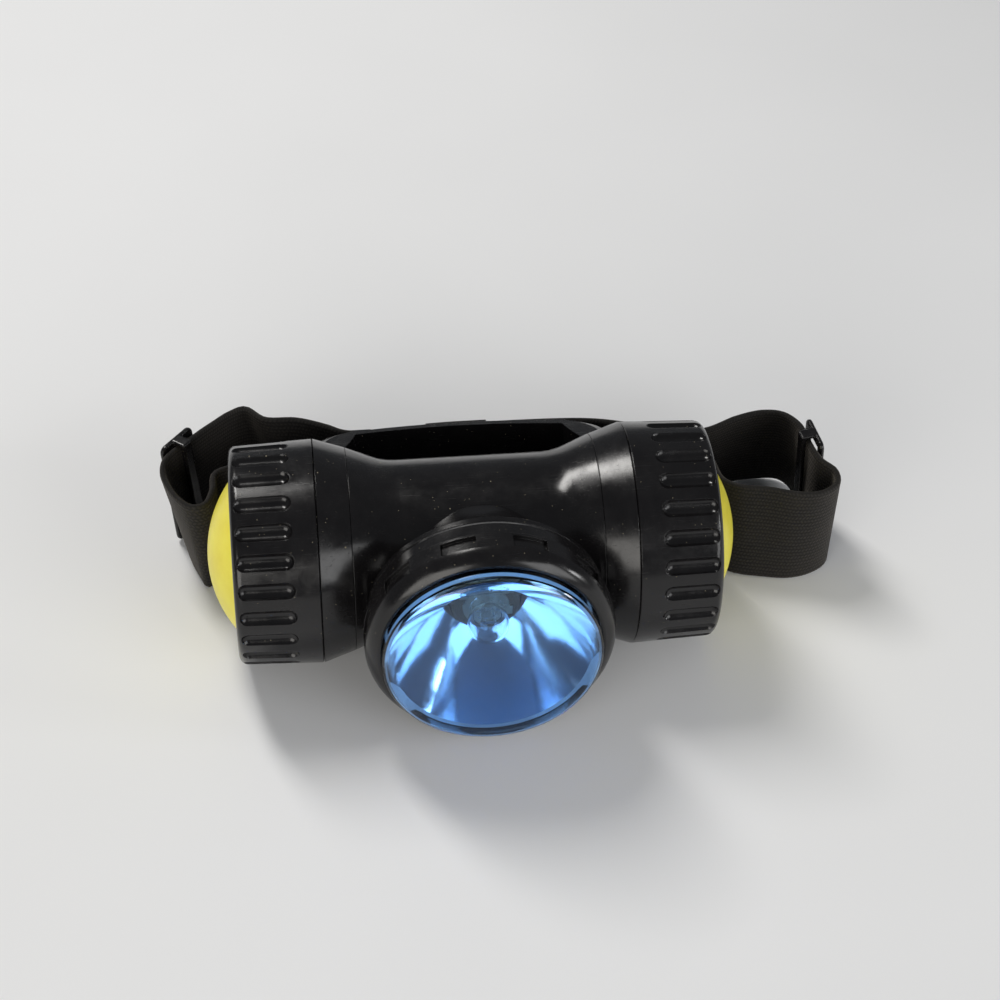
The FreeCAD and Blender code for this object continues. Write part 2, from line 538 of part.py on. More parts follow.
def ribbon(stations, before, after):
    """Closed solid of the webbing over the given stations; the outer stations set the end mitres."""
    pairs = strap_edges([before] + stations + [after])
    rings = []
    for i in range(1, len(pairs) - 1):
        (b0, t0), (b1, t1), (b2, t2) = pairs[i - 1:i + 2]
        up = (t1 - b1).normalize()
        into = ((b1 + t1) - (b0 + t0)).normalize()
        out = ((b2 + t2) - (b1 + t1)).normalize()
        n0, n1 = into.cross(up).normalize(), out.cross(up).normalize()
        mitre = (n0 + n1).normalize()
        half = mitre * (STRAP_T / 2 / max(0.5, mitre.dot(n1)))
        rings.append([b1 - half, b1 + half, t1 + half, t1 - half])
    faces = []

    def triangle(a, b, c):
        faces.append(Part.Face(Part.makePolygon([a, b, c, a])))
    for near, far in zip(rings, rings[1:]):
        for k in range(4):
            a, b, c, d = near[k], near[(k + 1) % 4], far[(k + 1) % 4], far[k]
            triangle(a, b, c)
            triangle(a, c, d)
    for ring in (rings[0], rings[-1]):
        triangle(ring[0], ring[1], ring[2])
        triangle(ring[0], ring[2], ring[3])
    solid = Part.makeSolid(Part.makeShell(faces))
    if solid.Volume < 0:
        solid.reverse()
    return solid


def make_strap():
    """One endless band of elastic webbing, in four stretches that meet end to end."""
    runs = (("strap_forehead", FOREHEAD_RUN), ("strap_right_loop", RIGHT_LOOP),
            ("strap_back", BACK_RUN), ("strap_left_loop", LEFT_LOOP))
    for i, (name, stations) in enumerate(runs):
        before = runs[i - 1][1][-2]
        after = runs[(i + 1) % len(runs)][1][1]
        keep(name, ribbon(stations, before, after), "world")


def make_slider(name, near, far):
    """Strap adjuster: a frame on the webbing's outer face and a bar across its inner face.

    near and far are the webbing's lower and upper edge points at the slider's two ends."""
    (b0, t0), (b1, t1) = near, far
    along = ((b1 + t1) - (b0 + t0)).normalize()
    face = along.cross((t0 + t1) - (b0 + b1)).normalize()
    across = along.cross(face)
    centre = (b0 + t0 + b1 + t1) * 0.25
    half_w, half_l, corner_r = STRAP_W / 2 + 1.5, 5.6, 1.8
    rim, end_t, bar_t, bar_half_l, clear = 2.4, 1.2, 1.2, 1.5, 0.4
    inner = STRAP_T / 2 + clear
    frame = box(V(-half_l, inner, -half_w), V(half_l, inner + bar_t, half_w))
    corners = [edge for edge in frame.Edges if abs(edge.Vertexes[0].Y - edge.Vertexes[1].Y) > bar_t / 2]
    frame = frame.makeFillet(corner_r, corners)
    window_l, window_w = half_l - rim, half_w - rim
    frame = frame.cut(box(V(-window_l, 0, -window_w), V(window_l, inner + 2 * bar_t, window_w)))
    cross = box(V(-bar_half_l, -inner - bar_t, -half_w), V(bar_half_l, -inner, half_w))
    ends = [box(V(-bar_half_l, -inner - bar_t, z0), V(bar_half_l, inner + bar_t, z1))
            for z0, z1 in ((half_w - end_t, half_w), (-half_w, -half_w + end_t))]
    slider = frame.fuse([cross] + ends).removeSplitter()
    matrix = FreeCAD.Matrix(along.x, face.x, across.x, centre.x, along.y, face.y, across.y, centre.y,
                            along.z, face.z, across.z, centre.z, 0, 0, 0, 1)
    slider.Placement = FreeCAD.Placement(matrix)
    keep(name, slider, "world")


SIDES = (("right", lambda shape: shape), ("left", other_side))


def main():
    make_housing()
    for side, mirror in SIDES:
        make_neck(side, mirror)
        make_end_contacts(side, mirror)
    cap = make_cap_shell()
    keep("right_cap", cap)
    keep("left_cap", other_side(cap))
    dome = make_dome()
    keep("right_dome", dome)
    keep("switch_dome", other_side(dome))
    make_switch()
    make_cells()
    arm = make_inner_contacts()
    make_bulb()
    make_bulb_holder(arm)
    make_reflector()
    make_lens()
    make_bezel()
    make_bracket()
    make_strap()
    right_pairs = strap_edges(RIGHT_LOOP)
    left_pairs = strap_edges(LEFT_LOOP)
    make_slider("right_slider", right_pairs[12], right_pairs[14])
    make_slider("left_slider", left_pairs[7], left_pairs[8])
    os.makedirs("parts", exist_ok=True)
    for name, shape in NODES.items():
        shape.exportStep("parts/%s.step" % name)
    box_all = Part.makeCompound(list(NODES.values())).BoundBox
    print("nodes", len(NODES), "box", box_all)


main()
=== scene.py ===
"""Headlamp: the materials, the folded strap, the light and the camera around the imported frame.

Lengths in the tables are millimetres from the middle of the tube's axis, X along the tube, Z up.
"""
import json
import math

import bpy
import numpy as np
from mathutils import Matrix, Vector


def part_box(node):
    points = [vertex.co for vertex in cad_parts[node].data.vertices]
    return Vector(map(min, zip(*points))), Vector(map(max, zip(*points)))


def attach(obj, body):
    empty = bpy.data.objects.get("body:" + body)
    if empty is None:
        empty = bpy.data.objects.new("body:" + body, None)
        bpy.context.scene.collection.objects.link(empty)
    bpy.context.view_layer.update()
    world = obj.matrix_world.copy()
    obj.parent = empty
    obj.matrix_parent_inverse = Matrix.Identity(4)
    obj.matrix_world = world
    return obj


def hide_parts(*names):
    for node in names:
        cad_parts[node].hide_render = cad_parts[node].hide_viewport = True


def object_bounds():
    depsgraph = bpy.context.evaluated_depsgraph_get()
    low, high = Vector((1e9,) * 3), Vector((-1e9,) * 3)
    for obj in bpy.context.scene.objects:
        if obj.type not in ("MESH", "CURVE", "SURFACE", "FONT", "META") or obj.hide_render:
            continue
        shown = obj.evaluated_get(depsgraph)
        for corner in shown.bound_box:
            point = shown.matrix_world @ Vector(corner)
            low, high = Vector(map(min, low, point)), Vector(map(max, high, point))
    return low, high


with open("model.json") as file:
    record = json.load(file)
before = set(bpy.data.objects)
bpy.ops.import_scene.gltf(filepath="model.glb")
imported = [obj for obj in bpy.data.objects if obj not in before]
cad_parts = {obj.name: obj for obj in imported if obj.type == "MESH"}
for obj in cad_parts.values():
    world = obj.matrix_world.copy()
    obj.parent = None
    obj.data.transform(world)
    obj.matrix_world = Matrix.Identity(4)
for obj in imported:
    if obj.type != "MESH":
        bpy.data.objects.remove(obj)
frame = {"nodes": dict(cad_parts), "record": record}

CAD_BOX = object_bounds()
MM = 0.001
# middle of the tube's axis, halfway between the outer corners of the two caps
AXIS = (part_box("left_cap")[0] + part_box("right_cap")[1]) / 2

# the strap's webbing and its sewn lap
WIDTH, THICK = 28.0, 1.5
RIBS = 26               # rib rows across the webbing
RIB_STEP = WIDTH / RIBS
RIB_DEPTH = 0.06
STITCH_STEP = 0.85      # length of one knit stitch along a rib
FACES_APART = 0.01      # keeps the pattern of the webbing's two faces from matching
LAP_LIFT = 1.3          # the lap lies this far outside the band's middle
LAP_REACH = 1.35        # from the lap's middle to each of its ends, in knots


# ---------------------------------------------------------------- materials
class Look:
    """A procedural material. Plain values sit on the shader; nodes make its colour, roughness and relief."""

    def __init__(self, name, **values):
        self.material = bpy.data.materials.new(name)
        self.material.use_nodes = True
        self.tree = self.material.node_tree
        self.shader = self.tree.nodes["Principled BSDF"]
        for socket, value in values.items():
            self.shader.inputs[socket.replace("_", " ")].default_value = value
        self.place = self.node("ShaderNodeTexCoord").outputs["Object"]

    def node(self, kind, inputs=None, **settings):
        made = self.tree.nodes.new(kind)
        for key, value in settings.items():
            setattr(made, key, value)
        for key, value in (inputs or {}).items():
            self.feed(made.inputs[key], value)
        return made

    def feed(self, socket, value):
        if isinstance(value, bpy.types.NodeSocket):
            self.tree.links.new(value, socket)
        else:
            socket.default_value = value

    def math(self, operation, a, b=0.0):
        return self.node("ShaderNodeMath", {0: a, 1: b}, operation=operation).outputs[0]

    def stretched(self, scale):
        return self.node("ShaderNodeMapping", {"Vector": self.place, "Scale": scale}).outputs[0]

    def noise(self, scale, detail=2.0, rough=0.5, vector=None):
        made = self.node("ShaderNodeTexNoise", {"Vector": vector or self.place, "Scale": scale,
                                                "Detail": detail, "Roughness": rough})
        return made.outputs["Fac"]

    def specks(self, cell, radius, share, vector=None):
        """1 inside small round spots about cell metres apart, kept only where a noise allows them."""
        spots = self.node("ShaderNodeTexVoronoi", {"Vector": vector or self.place, "Scale": 1 / cell})
        near = self.math("LESS_THAN", spots.outputs["Distance"], radius / cell)
        lot = self.node("ShaderNodeSeparateColor", {0: spots.outputs["Color"]}).outputs[0]
        kept = self.math("LESS_THAN", lot, share)
        return self.math("MULTIPLY", near, kept)

    def ramp(self, value, *stops):
        """Colours or numbers at positions along value."""
        made = self.node("ShaderNodeValToRGB", {"Fac": value})
        bar = made.color_ramp.elements
        while len(bar) < len(stops):
            bar.new(0.5)
        for element, (position, colour) in zip(bar, stops):
            element.position = position
            rgb = tuple(colour) if hasattr(colour, "__len__") else (colour,) * 3
            element.color = rgb + (1,)
        return made.outputs["Color"]

    def mix(self, share, a, b):
        made = self.node("ShaderNodeMix", data_type="RGBA")
        self.feed(made.inputs["Factor"], share)
        for socket, value in ((made.inputs[6], a), (made.inputs[7], b)):
            self.feed(socket, value if isinstance(value, bpy.types.NodeSocket) else tuple(value) + (1,))
        return made.outputs[2]

    def bump(self, height, depth, normal=None, strength=1.0):
        inputs = {"Height": height, "Distance": depth, "Strength": strength}
        if normal is not None:
            inputs["Normal"] = normal
        return self.node("ShaderNodeBump", inputs).outputs["Normal"]

    def finish(self, colour=None, roughness=None, normal=None):
        for socket, value in (("Base Color", colour), ("Roughness", roughness), ("Normal", normal)):
            if value is not None:
                self.feed(self.shader.inputs[socket], value)
        return self.material


def black_plastic(name, rough=0.19, dust=0.35):
    """Moulded gloss black: faint sink waves, fine scratches, edges rounded in the shading and a little dust.
    """
    look = Look(name, Specular_IOR_Level=0.42)
    waves = look.noise(90, 1.5)
    grain = look.noise(1400, 3, 0.6)
    scratches = look.noise(1.0, 4, 0.7, look.stretched((120, 2600, 2600)))
    fine = look.ramp(scratches, (0.60, 0.0), (0.66, 1.0))
    smear = look.noise(160, 5, 0.65)
    dust_small = look.specks(0.0012, 0.00009, dust)
    dust_large = look.specks(0.0052, 0.00019, dust)
    specks = look.math("MAXIMUM", dust_small, dust_large)
    body = look.ramp(smear, (0.3, (0.0050, 0.0045, 0.0050)), (0.75, (0.0085, 0.0078, 0.0082)))
    colour = look.mix(specks, body, (0.24, 0.21, 0.14))
    gloss = look.ramp(smear, (0.35, rough * 0.75), (0.8, rough * 1.7))
    gloss = look.math("ADD", gloss, look.math("MULTIPLY", fine, 0.10))
    gloss = look.math("ADD", gloss, look.math("MULTIPLY", specks, 0.4))
    soft_edge = look.node("ShaderNodeBevel", {"Radius": 0.22 * MM}, samples=4).outputs[0]
    normal = look.bump(waves, 0.05 * MM, soft_edge)
    normal = look.bump(grain, 0.0012 * MM, normal)
    normal = look.bump(fine, 0.002 * MM, normal)
    return look.finish(colour, gloss, normal)


def yellow_plastic():
    look = Look("yellow_plastic", Specular_IOR_Level=0.45, Subsurface_Weight=0.08, Subsurface_Scale=0.002,
                Subsurface_Radius=(1.0, 0.7, 0.1))
    cloud = look.noise(130, 4, 0.6)
    grain = look.noise(2200, 2)
    marks = look.specks(0.0035, 0.00016, 0.3)
    body = look.ramp(cloud, (0.3, (0.82, 0.70, 0.045)), (0.7, (0.90, 0.81, 0.095)))
    colour = look.mix(look.math("MULTIPLY", marks, 0.6), body, (0.32, 0.24, 0.04))
    gloss = look.ramp(cloud, (0.3, 0.30), (0.8, 0.46))
    normal = look.bump(grain, 0.004 * MM, look.bump(cloud, 0.05 * MM))
    return look.finish(colour, gloss, normal)


def blue_lens():
    """Clear blue plastic whose depth of colour comes from its thickness."""
    look = Look("blue_lens", Transmission_Weight=1.0, IOR=1.49, Base_Color=(0.93, 0.97, 1.0, 1))
    smear = look.noise(120, 5, 0.6)
    gloss = look.ramp(smear, (0.45, 0.0), (0.85, 0.06))
    scratches = look.noise(1.0, 3, 0.7, look.stretched((2200, 150, 150)))
    normal = look.bump(look.ramp(scratches, (0.66, 0.0), (0.70, 1.0)), 0.0015 * MM)
    tint = look.node("ShaderNodeVolumeAbsorption", {"Color": (0.14, 0.60, 0.99, 1), "Density": 440.0})
    output = look.tree.nodes["Material Output"]
    look.tree.links.new(tint.outputs[0], output.inputs["Volume"])
    return look.finish(None, gloss, normal)


def reflector_metal():
    look = Look("reflector_metal", Metallic=1.0)
    smear = look.noise(70, 4, 0.6)
    fog = look.noise(900, 3)
    pits = look.specks(0.0022, 0.0001, 0.25)
    body = look.ramp(smear, (0.3, (0.80, 0.82, 0.84)), (0.8, (0.90, 0.91, 0.92)))
    colour = look.mix(pits, body, (0.35, 0.36, 0.38))
    gloss = look.ramp(smear, (0.3, 0.08), (0.8, 0.17))
    normal = look.bump(fog, 0.0008 * MM, look.bump(smear, 0.03 * MM))
    return look.finish(colour, gloss, normal)


def bulb_glass():
    look = Look("bulb_glass", Transmission_Weight=1.0, IOR=1.5, Base_Color=(0.98, 0.99, 1.0, 1))
    haze = look.noise(260, 3)
    return look.finish(None, look.ramp(haze, (0.5, 0.0), (0.9, 0.08)), look.bump(haze, 0.01 * MM))


def metal(name, low, high, rough):
    """Plain metal with drawn lines and a tarnish that changes its colour and gloss."""
    look = Look(name, Metallic=1.0)
    tarnish = look.noise(350, 5, 0.65)
    lines = look.noise(1.0, 3, 0.6, look.stretched((300, 5000, 5000)))
    colour = look.ramp(tarnish, (0.3, low), (0.75, high))
    gloss = look.ramp(tarnish, (0.3, rough * 0.7), (0.8, rough * 1.5))
    return look.finish(colour, gloss, look.bump(lines, 0.002 * MM))


def matte(name, low, high, rough, grain_size):
    """Rubber and insulating board: a fine grain and cloudy colour."""
    look = Look(name, Specular_IOR_Level=0.35)
    cloud = look.noise(300, 4, 0.6)
    grain = look.noise(1 / grain_size, 3)
    colour = look.ramp(cloud, (0.3, low), (0.8, high))
    gloss = look.ramp(grain, (0.3, rough - 0.1), (0.8, rough + 0.1))
    return look.finish(colour, gloss, look.bump(grain, 0.01 * MM))


def cell_jacket():
    """Shrink sleeve of a battery: dark with a copper end, no lettering."""
    look = Look("cell_jacket", Specular_IOR_Level=0.5)
    cloud = look.noise(400, 3)
    along = look.node("ShaderNodeSeparateXYZ", {0: look.place}).outputs[0]
    out = look.math("ABSOLUTE", look.math("SUBTRACT", along, float(AXIS.x)))
    band = look.math("GREATER_THAN", out, 40 * MM)
    colour = look.mix(band, look.ramp(cloud, (0.3, (0.010, 0.010, 0.012)), (0.8, (0.02, 0.02, 0.022))),
                      look.ramp(cloud, (0.3, (0.55, 0.24, 0.08)), (0.8, (0.66, 0.32, 0.13))))
    return look.finish(colour, look.ramp(cloud, (0.3, 0.25), (0.8, 0.4)), look.bump(cloud, 0.01 * MM))


def webbing():
    """Knitted elastic: rows of small slanted stitches with painted shade in the grooves between them and
    painted light on their crowns, and light fibre flecks on the crowns that are partly painted glints.
    """
    look = Look("webbing", Specular_IOR_Level=0.25, Sheen_Weight=0.16, Sheen_Roughness=0.5,
                Sheen_Tint=(0.75, 0.68, 0.60, 1))
    cloth = look.node("ShaderNodeAttribute", attribute_name="cloth").outputs["Vector"]
    split = look.node("ShaderNodeSeparateXYZ", {0: cloth})
    along, across = split.outputs[0], split.outputs[1]
    wobble = look.math("MULTIPLY", look.math("SUBTRACT", look.noise(700, 2, 0.5, cloth), 0.5), 0.35)
    row = look.math("ADD", look.math("DIVIDE", across, RIB_STEP * MM), wobble)
    in_row = look.math("PINGPONG", row, 0.5)
    crown = look.math("SINE", look.math("MULTIPLY", in_row, math.pi))
    parity = look.math("PINGPONG", look.math("FLOOR", row), 1.0)
    slant = look.math("MULTIPLY", look.math("FRACT", row), look.math("SUBTRACT", parity, 0.5))
    step = look.math("ADD", look.math("DIVIDE", along, STITCH_STEP * MM), look.math("ADD", slant, wobble))
    loop = look.math("SINE", look.math("MULTIPLY", look.math("PINGPONG", step, 0.5), math.pi))
    weave = look.math("MULTIPLY", crown, look.math("ADD", look.math("MULTIPLY", loop, 0.65), 0.35))
    drawn_out = look.node("ShaderNodeMapping", {"Vector": cloth, "Scale": (900, 4200, 1)}).outputs[0]
    fibre = look.noise(1.0, 3, 0.6, drawn_out)
    wear = look.noise(120, 4, 0.6, cloth)
    # painted shade and light: the colour follows the stitch relief, darkest in the grooves between rows and
    # lightest on the crowns
    body = look.ramp(weave, (0.10, (0.0022, 0.0020, 0.0020)), (0.55, (0.0085, 0.0075, 0.0070)),
                     (1.0, (0.022, 0.020, 0.018)))
    # light fibre flecks, only on the stitch crowns: partly the yarn's own broken fibres, partly painted
    # glints
    fibre_fleck_glint = look.math("MULTIPLY", look.ramp(fibre, (0.60, 0.0), (0.72, 1.0)), weave)
    colour = look.mix(look.math("MULTIPLY", fibre_fleck_glint, 0.55), body, (0.085, 0.072, 0.058))
    colour = look.mix(look.ramp(wear, (0.45, 0.0), (0.85, 0.35)), colour, (0.024, 0.020, 0.017))
    gloss = look.ramp(fibre, (0.3, 0.62), (0.8, 0.85))
    normal = look.bump(weave, 0.13 * MM, strength=0.9)
    normal = look.bump(fibre, 0.04 * MM, normal)
    return look.finish(colour, gloss, normal)


def thread():
    look = Look("thread", Specular_IOR_Level=0.3, Sheen_Weight=0.2)
    twist = look.noise(1.0, 2, 0.5, look.stretched((900, 3500, 3500)))
    colour = look.ramp(twist, (0.3, (0.012, 0.011, 0.010)), (0.8, (0.045, 0.040, 0.036)))
    return look.finish(colour, look.ramp(twist, (0.3, 0.5), (0.8, 0.7)), look.bump(twist, 0.05 * MM))


LOOKS = {
    "black_plastic": black_plastic("black_plastic"),
    "slider_plastic": black_plastic("slider_plastic", 0.24, 0.2),
    "yellow_plastic": yellow_plastic(),
    "blue_lens": blue_lens(),
    "reflector_metal": reflector_metal(),
    "bulb_glass": bulb_glass(),
    "brass": metal("brass", (0.50, 0.40, 0.26), (0.66, 0.55, 0.38), 0.3),
    "spring_steel": metal("spring_steel", (0.42, 0.42, 0.43), (0.62, 0.62, 0.63), 0.28),
    "rubber": matte("rubber", (0.010, 0.010, 0.010), (0.022, 0.021, 0.020), 0.6, 0.0004),
    "insulator": matte("insulator", (0.16, 0.10, 0.05), (0.24, 0.16, 0.09), 0.55, 0.0006),
    "cell_jacket": cell_jacket(),
    "webbing": webbing(),
    "thread": thread(),
}

for part in frame["record"]["subparts"]:
    node = frame["nodes"][part["node"]]
    node.data.materials.clear()
    node.data.materials.append(LOOKS[part["material_slot"]])


# ---------------------------------------------------------------- strap
FLOOR = -26.55
LIFTED, HALF_LIFTED = FLOOR + 1.6, FLOOR + 0.8      # where a slider holds the webbing clear of the floor
# lower edge x, y, z and upper edge x, y of the endless band, from the middle of the bar round by the right
STATIONS = [
    (0.0, 29.95, -25.75, 0.0, 39.45), (13.0, 29.7, -25.6, 13.0, 39.2), (21.0, 28.7, -25.3, 21.0, 38.2),
    (27.0, 28.5, -25.2, 27.0, 38.0), (33.0, 27.4, -25.4, 33.0, 35.6), (42.0, 25.2, FLOOR, 42.0, 31.9),
    (55.0, 25.4, FLOOR, 55.0, 30.2), (60.5, 25.0, FLOOR, 60.3, 28.0), (62.4, 19.8, FLOOR, 62.3, 22.5),
    (64.0, 12.9, FLOOR, 63.7, 15.8), (67.5, 9.4, FLOOR, 67.5, 12.8), (75.0, 7.2, FLOOR, 75.0, 11.3),
    (82.0, 6.2, FLOOR, 82.0, 8.8), (87.5, 7.6, FLOOR, 87.5, 8.6), (91.6, 11.0, FLOOR, 92.0, 11.6),
    (92.0, 15.6, HALF_LIFTED, 92.2, 15.2), (89.4, 19.4, LIFTED, 89.0, 18.6), (88.4, 28.0, LIFTED, 87.2, 25.6),
    (88.0, 36.0, LIFTED, 86.2, 31.8), (85.0, 41.2, HALF_LIFTED, 83.0, 37.0), (79.5, 42.6, FLOOR, 78.0, 38.8),
    (73.0, 42.0, FLOOR, 71.5, 37.4), (62.0, 38.6, FLOOR, 61.5, 33.4), (48.0, 35.4, FLOOR, 48.0, 35.6),
    (36.0, 33.8, FLOOR, 36.0, 39.4), (28.0, 33.0, FLOOR, 28.0, 41.0), (0.0, 33.2, FLOOR, 0.0, 41.5),
    (-28.0, 33.0, FLOOR, -28.0, 41.0), (-32.5, 36.2, FLOOR, -33.0, 43.4), (-38.0, 40.4, FLOOR, -40.5, 46.2),
    (-42.4, 43.4, FLOOR, -48.4, 47.2), (-45.6, 47.8, FLOOR, -53.4, 52.2),
    (-50.0, 48.8, HALF_LIFTED, -57.0, 49.2), (-57.4, 44.6, LIFTED, -61.4, 44.0),
    (-63.4, 39.4, LIFTED, -66.2, 39.4), (-69.6, 31.8, LIFTED, -73.2, 32.0),
    (-69.0, 27.6, HALF_LIFTED, -74.0, 28.4), (-67.6, 22.6, FLOOR, -72.6, 24.0),
    (-65.8, 18.0, FLOOR, -70.2, 19.6),
    (-64.6, 15.2, FLOOR, -67.2, 16.6), (-62.6, 16.6, FLOOR, -64.0, 16.8), (-61.6, 20.8, FLOOR, -61.9, 21.6),
    (-61.0, 25.0, FLOOR, -61.2, 27.6), (-55.0, 25.8, FLOOR, -55.0, 30.4), (-42.0, 25.2, FLOOR, -42.0, 31.9),
    (-33.0, 27.4, -25.4, -33.0, 35.6), (-27.0, 28.5, -25.2, -27.0, 38.0), (-21.0, 28.7, -25.3, -21.0, 38.2),
    (-13.0, 29.7, -25.6, -13.0, 39.2)]


def edge_points():
    """Lower and upper edge points of the stations; the width sets the upper edge's height."""
    low, high = [], []
    for xb, yb, zb, xt, yt in STATIONS:
        rise = math.sqrt(WIDTH ** 2 - (xt - xb) ** 2 - (yt - yb) ** 2)
        low.append((xb, yb, zb))
        high.append((xt, yt, zb + rise))
    return np.array(low), np.array(high)


def smooth_loop(points, knots, t):
    """Closed Catmull-Rom curve through points at uneven knots, read at t."""
    count = len(points)
    total = knots[-1]
    t = t % total
    i = np.clip(np.searchsorted(knots, t, side="right") - 1, 0, count - 1)
    wrapped = [(i + k) % count for k in (-1, 0, 1, 2)]
    p0, p1, p2, p3 = (points[w] for w in wrapped)
    gaps = np.diff(knots)
    g0, g1, g2 = (gaps[(i + k) % count][:, None] for k in (-1, 0, 1))
    m1 = ((p1 - p0) / g0 * g1 + (p2 - p1) / g1 * g0) / (g0 + g1)
    m2 = ((p2 - p1) / g1 * g2 + (p3 - p2) / g2 * g1) / (g1 + g2)
    u = ((t - knots[i]) / gaps[i])[:, None]
    return ((2 * u ** 3 - 3 * u ** 2 + 1) * p1 + (u ** 3 - 2 * u ** 2 + u) * g1 * m1
            + (3 * u ** 2 - 2 * u ** 3) * p2 + (u ** 3 - u ** 2) * g1 * m2)


LOW, HIGH = edge_points()
MIDDLE = (LOW + HIGH) / 2
KNOTS = np.concatenate([[0], np.cumsum(np.sqrt(np.linalg.norm(np.roll(MIDDLE, -1, 0) - MIDDLE, axis=1)))])


def band_frame(t):
    """Edge points, face normal and distance along the band at knots t, in millimetres."""
    low, high = smooth_loop(LOW, KNOTS, t), smooth_loop(HIGH, KNOTS, t)
    middle = (low + high) / 2
    run = np.gradient(middle, axis=0)
    face = np.cross(run, high - low)
    face /= np.linalg.norm(face, axis=1)[:, None]
    along = np.concatenate([[0], np.cumsum(np.linalg.norm(np.diff(middle, axis=0), axis=1))])
    return low, high, face, along


def row_metres(points):
    return np.asarray(points) * MM + np.array(AXIS)


def new_mesh(name, points, faces, material, smooth=True):
    data = bpy.data.meshes.new(name)
    data.from_pydata([tuple(p) for p in points], [], [tuple(f) for f in faces])
    data.materials.append(material)
    data.update()
    made = bpy.data.objects.new(name, data)
    bpy.context.scene.collection.objects.link(made)
    if smooth:
        data.shade_smooth()
    return made


def band(name, start, end, step, lift=0.0, inset=0.0):
    """Webbing from knot start to knot end, with two ribbed faces and rounded edges.

    step is the distance between its rows of points. It lies lift off the band's middle, and is narrower
    by inset at each edge."""
    rough_t = np.linspace(start, end, 4000)
    _, _, _, rough_along = band_frame(rough_t)
    count = int(rough_along[-1] / step) + 1
    t = np.interp(np.linspace(0, rough_along[-1], count), rough_along, rough_t)
    low, high, face, along = band_frame(t)
    rim = np.array([0, 0.004, 0.012, 0.025])
    v = np.concatenate([rim, np.linspace(0.05, 0.95, RIBS * 4 - 7), 1 - rim[::-1]])
    side = np.concatenate([np.ones(len(v)), -np.ones(len(v) - 2)])
    v = np.concatenate([v, v[-2:0:-1]])
    edge = np.minimum(v, 1 - v) * WIDTH / (THICK / 2)
    half = THICK / 2 * np.sqrt(np.clip(1 - (1 - np.clip(edge, 0, 1)) ** 2, 0, 1))
    half += RIB_DEPTH * (np.abs(np.sin(np.pi * v * RIBS)) - 1) * np.clip(edge / 2, 0, 1)
    out = side * half + lift
    across = inset + v * (WIDTH - 2 * inset)
    share = across / WIDTH
    points = (low[:, None] * (1 - share)[None, :, None] + high[:, None] * share[None, :, None]
              + face[:, None] * out[None, :, None])
    ring = len(v)
    quads = [(i * ring + j, i * ring + (j + 1) % ring, (i + 1) * ring + (j + 1) % ring, (i + 1) * ring + j)
             for i in range(count - 1) for j in range(ring)]
    ends = [list(range(ring))[::-1], [(count - 1) * ring + j for j in range(ring)]]
    made = new_mesh(name, row_metres(points.reshape(-1, 3)), quads + ends, LOOKS["webbing"])
    cloth = np.zeros((count, ring, 3), np.float32)
    cloth[:, :, 0] = along[:, None] * MM
    cloth[:, :, 1] = across[None, :] * MM
    cloth[:, :, 2] = side[None, :] * FACES_APART
    made.data.attributes.new("cloth", "FLOAT_VECTOR", "POINT").data.foreach_set("vector", cloth.ravel())
    return made, along[-1]


JOIN_T = KNOTS[STATIONS.index((0.0, 33.2, FLOOR, 0.0, 41.5))]       # the band's ends meet behind the bar
strap, strap_length = band("strap", JOIN_T, JOIN_T + KNOTS[-1], 1.2)
lap, _ = band("strap_lap", JOIN_T - LAP_REACH, JOIN_T + LAP_REACH, 0.8, lift=LAP_LIFT, inset=0.15)


def stitches(name, places, length, radius):
    """Short rounded stitches; each place is (point, direction, face normal)."""
    points, faces = [], []
    turn, rows = 8, 5
    for point, run, up in places:
        cross = np.cross(run, up)
        first = len(points)
        for k in range(rows):
            share = k / (rows - 1)
            grow = math.sin(math.pi * (0.08 + 0.84 * share)) ** 0.5
            for a in range(turn):
                angle = 2 * math.pi * a / turn
                points.append(point + run * (share - 0.5) * length
                              + (cross * math.cos(angle) + up * math.sin(angle) * 0.8) * radius * grow)
        for k in range(rows - 1):
            for a in range(turn):
                b = (a + 1) % turn
                faces.append((first + k * turn + a, first + k * turn + b, first + (k + 1) * turn + b,
                              first + (k + 1) * turn + a))
        faces.append([first + a for a in range(turn)][::-1])
        faces.append([first + (rows - 1) * turn + a for a in range(turn)])
    return new_mesh(name, row_metres(points), faces, LOOKS["thread"])


def lap_stitches():
    """Two rows across each end of the lap and one along each side of it, on its outer face."""
    places = []
    depth = LAP_LIFT + THICK / 2
    margin = 2.0
    for shift in (-1.05, -0.75, 0.75, 1.05):
        row_t = JOIN_T + shift
        low, high, face, _ = band_frame(np.array([row_t - 0.01, row_t, row_t + 0.01]))
        up = (high[1] - low[1]) / WIDTH
        for k in range(11):
            spot = low[1] + up * (margin + k * 2.4) + face[1] * depth
            places.append((spot, up, face[1]))
    for level in (margin, WIDTH - margin):
        t = np.linspace(JOIN_T - 0.6, JOIN_T + 0.6, 5)
        low, high, face, _ = band_frame(t)
        run = np.gradient((low + high) / 2, axis=0)
        run /= np.linalg.norm(run, axis=1)[:, None]
        for k in range(5):
            spot = low[k] + (high[k] - low[k]) / WIDTH * level + face[k] * depth
            places.append((spot, run[k], face[k]))
    return stitches("strap_stitches", places, 1.7, 0.2)


seam = lap_stitches()
for piece in (strap, lap, seam):
    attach(piece, "bracket")
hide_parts("strap_forehead", "strap_right_loop", "strap_back", "strap_left_loop")

# ---------------------------------------------------------------- sliders
for name in ("left_slider", "right_slider"):
    slider = frame["nodes"][name]
    weld = slider.modifiers.new("weld", "WELD")
    weld.merge_threshold = 0.01 * MM
    rounding = slider.modifiers.new("rounding", "BEVEL")
    rounding.width = 0.5 * MM
    rounding.segments = 3
    rounding.limit_method = "ANGLE"


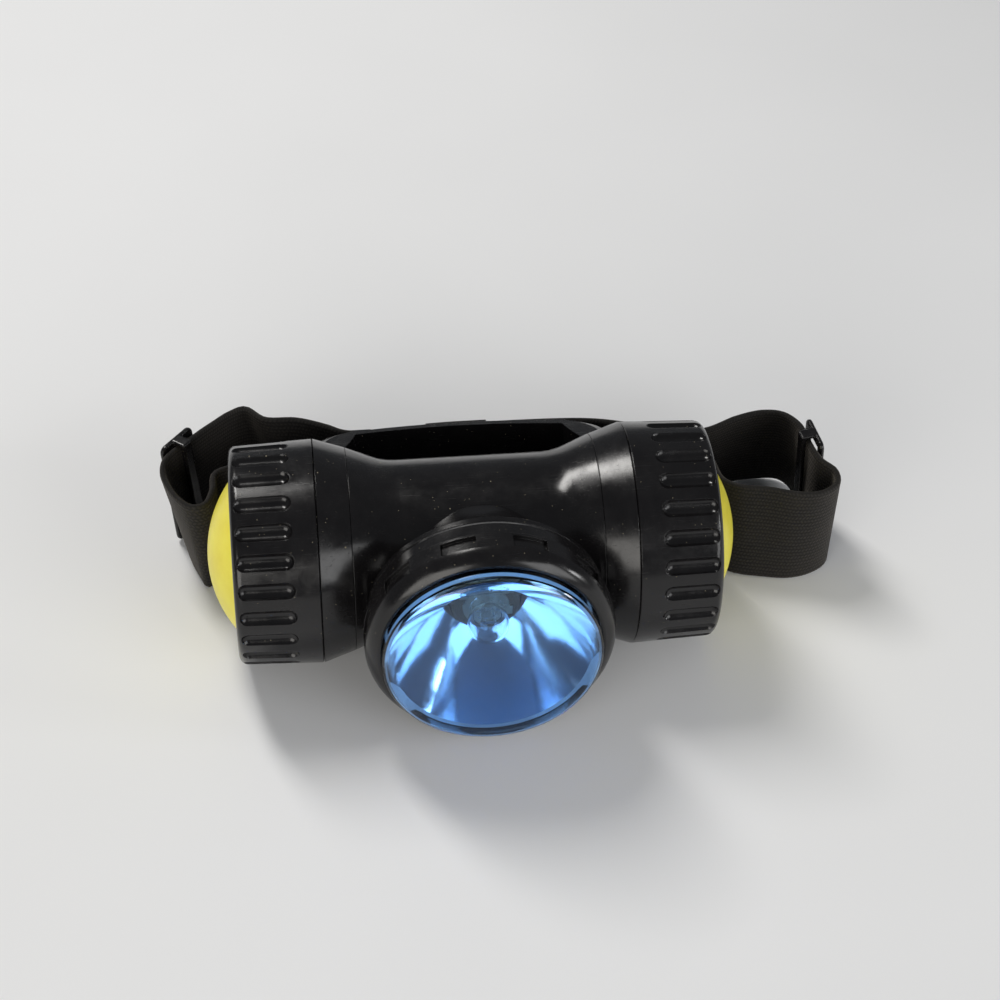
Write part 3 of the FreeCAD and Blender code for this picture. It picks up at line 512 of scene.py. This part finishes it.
# ---------------------------------------------------------------- floor, light and camera
def soft_box(name, place, aim, size, power, colour=(1, 1, 1)):
    light = bpy.data.lights.new(name, "AREA")
    light.shape = "RECTANGLE"
    light.size, light.size_y = size
    light.energy = power
    light.color = colour
    made = bpy.data.objects.new(name, light)
    bpy.context.scene.collection.objects.link(made)
    made.location = place
    made.rotation_euler = (Vector(aim) - Vector(place)).to_track_quat("-Z", "Y").to_euler()


def studio():
    look = Look("floor", Specular_IOR_Level=0.2)
    mottle = look.noise(6, 3)
    colour = look.ramp(mottle, (0.3, (0.82, 0.825, 0.83)), (0.7, (0.86, 0.865, 0.87)))
    look.finish(colour, look.ramp(mottle, (0.3, 0.6), (0.7, 0.7)))
    reach, low = 6.0, CAD_BOX[0].z
    corners = [(-reach, -reach, low), (reach, -reach, low), (reach, reach, low), (-reach, reach, low)]
    floor = new_mesh("floor", corners, [(0, 1, 2, 3)], look.material, smooth=False)
    world = bpy.data.worlds.new("studio")
    bpy.context.scene.world = world
    world.use_nodes = True
    sky = world.node_tree.nodes["Background"].inputs
    sky["Color"].default_value = (0.80, 0.84, 0.90, 1)
    sky["Strength"].default_value = 0.17
    middle = (0.0, 0.0, 0.02)
    soft_box("key", (-0.32, 0.50, 0.80), middle, (0.18, 0.50), 5.5, (1.0, 0.98, 0.95))
    soft_box("left_card", (-0.52, -0.82, 0.36), middle, (0.75, 0.55), 5.0, (1.0, 0.97, 0.92))
    soft_box("right_card", (0.64, -0.72, 0.40), middle, (0.60, 0.50), 3.4)
    soft_box("side", (0.90, -0.25, 0.30), middle, (0.16, 0.16), 1.2)


def camera():
    """Looks down at 45 degrees, from a little to the left of the lamp's front."""
    azimuth, elevation, roll = (math.radians(a) for a in (6.99, 45.02, 1.63))
    distance, shift_right, shift_up = 564.36, 6.81, 9.92
    back = Vector((-math.sin(azimuth) * math.cos(elevation), -math.cos(azimuth) * math.cos(elevation),
                   math.sin(elevation)))
    level = Vector((math.cos(azimuth), -math.sin(azimuth), 0))
    upright = level.cross(-back)
    right = level * math.cos(roll) + upright * math.sin(roll)
    up = upright * math.cos(roll) - level * math.sin(roll)
    place = AXIS + (back * distance + right * shift_right + up * shift_up) * MM
    lens = bpy.data.cameras.new("camera")
    lens.sensor_width, lens.lens = 36.0, 84.30
    lens.clip_start = 0.01
    made = bpy.data.objects.new("camera", lens)
    bpy.context.scene.collection.objects.link(made)
    made.matrix_world = Matrix([[right[i], up[i], back[i], place[i]] for i in range(3)] + [[0, 0, 0, 1]])
    bpy.context.scene.camera = made


studio()
camera()
bpy.context.scene.view_settings.view_transform = "Standard"
